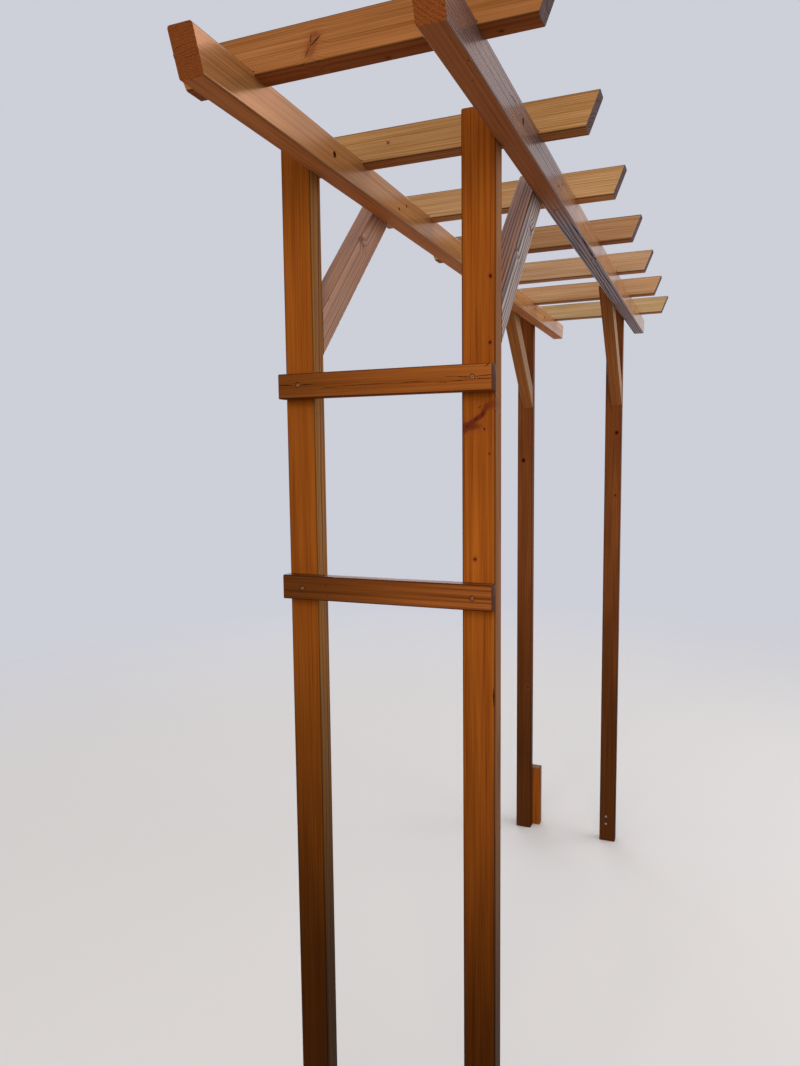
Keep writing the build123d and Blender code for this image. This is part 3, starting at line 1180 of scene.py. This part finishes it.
def make_sky(stage):
    """A soft sky, bright above, dimmer at the horizon and darkest in front, and plain to the camera."""
    world = bpy.data.worlds.new("sky")
    bpy.context.scene.world = world
    world.use_nodes = True
    tree = world.node_tree
    tree.nodes.clear()
    surface = add_node(tree, "ShaderNodeTexCoord")
    gaze = add_node(tree, "ShaderNodeSeparateXYZ", None, {"Vector": surface.outputs["Generated"]})
    # From left to right, towards the front, and up
    sky = srgb("A9A6A8")
    for axis, start, full, tint in (
        ("X", -0.6, 0.6, srgb("C6CAC6")), ("Y", 0.1, -0.7, srgb("5C564C")), ("Z", 0.0, 0.75, srgb("E4ECFA")),
    ):
        share = add_node(tree, "ShaderNodeMapRange", SOFT, {
            "Value": gaze.outputs[axis], "From Min": start, "From Max": full,
        })
        sky = add_node(tree, "ShaderNodeMix", COLOURS, {"Factor": share, "A": sky, "B": tint})
    seen = add_node(tree, "ShaderNodeMix", COLOURS, {
        "Factor": seen_directly(tree), "A": sky, "B": stage.backdrop,
    })
    background = add_node(tree, "ShaderNodeBackground", None, {"Color": seen, "Strength": 1.0})
    add_node(tree, "ShaderNodeOutputWorld", None, {"Surface": background})


def hang_lamp(name, place, target, size, power, code):
    """A square soft lamp at a place, aimed at a target."""
    lamp = bpy.data.lights.new(name, "AREA")
    lamp.shape = "SQUARE"
    lamp.size = size
    lamp.energy = power
    lamp.color = srgb(code)[:3]
    hung = bpy.data.objects.new(name, lamp)
    hung.visible_camera = False
    bpy.context.scene.collection.objects.link(hung)
    aim = (Vector(target) - Vector(place)).to_track_quat("-Z", "Y").to_matrix().to_4x4()
    hung.matrix_world = Matrix.Translation(place) @ aim


class PERGOLA_OT_set_stage(Operator):
    """Lay the floor, hang the sky and set the lamps and the camera"""

    bl_idname = "pergola.set_stage"
    bl_label = "Stage"

    def execute(self, context):
        stage = context.scene.pergola_stage
        maker = bmesh.new()
        bmesh.ops.create_grid(maker, x_segments=8, y_segments=8, size=8)
        floor = make_object("floor", maker)
        floor.data.materials.append(floor_paint(stage))
        make_sky(stage)
        hang_lamp("front_lamp", (1.0, -11.0, 4.5), (0.0, 0.0, 1.6), 8.0, 900, "FFF6EA")
        hang_lamp("side_lamp", (2.8, 1.2, 3.6), (0.0, 0.2, 1.5), 3.0, 70, "F4F6FF")
        hang_lamp("back_lamp", (-4.0, 9.0, 3.6), (0.0, 0.0, 1.2), 6.0, 320, "F4F6FF")

        lens = bpy.data.cameras.new("camera")
        lens.lens = stage.camera_lens
        camera = bpy.data.objects.new("camera", lens)
        context.scene.collection.objects.link(camera)
        gaze = Euler((radians(90) - stage.camera_dip, 0, stage.camera_turn)).to_matrix()
        turned = gaze @ Matrix.Rotation(-stage.camera_roll, 3, "Z")
        camera.matrix_world = Matrix.Translation(stage.camera_place) @ turned.to_4x4()
        context.scene.camera = camera
        context.scene.view_settings.view_transform = "Standard"
        return {"FINISHED"}


class PERGOLA_PT_panel(Panel):
    """The pergola's pieces and settings"""

    bl_idname = "PERGOLA_PT_panel"
    bl_label = "Garden Pergola"
    bl_space_type = "VIEW_3D"
    bl_region_type = "UI"
    bl_category = "Pergola"

    def draw(self, context):
        for operator in OPERATORS:
            self.layout.operator(operator.bl_idname)
        scene = context.scene
        for group in (scene.pergola_timber, scene.pergola_hardware, scene.pergola_stage):
            for name in group.__annotations__:
                self.layout.prop(group, name)


OPERATORS = (
    PERGOLA_OT_dress_posts,
    PERGOLA_OT_dress_beams,
    PERGOLA_OT_dress_braces,
    PERGOLA_OT_carve_rafters,
    PERGOLA_OT_carve_rungs,
    PERGOLA_OT_drive_screws,
    PERGOLA_OT_set_stage,
)
CLASSES = (TimberSettings, HardwareSettings, StageSettings, *OPERATORS, PERGOLA_PT_panel)


def register():
    for item in CLASSES:
        bpy.utils.register_class(item)
    bpy.types.Scene.pergola_timber = PointerProperty(type=TimberSettings)
    bpy.types.Scene.pergola_hardware = PointerProperty(type=HardwareSettings)
    bpy.types.Scene.pergola_stage = PointerProperty(type=StageSettings)


def unregister():
    del bpy.types.Scene.pergola_stage
    del bpy.types.Scene.pergola_hardware
    del bpy.types.Scene.pergola_timber
    for item in reversed(CLASSES):
        bpy.utils.unregister_class(item)


def main():
    """Register the add-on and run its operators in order."""
    register()
    for operator in OPERATORS:
        group, name = operator.bl_idname.split(".")
        getattr(getattr(bpy.ops, group), name)()


if __name__ == "__main__":
    main()
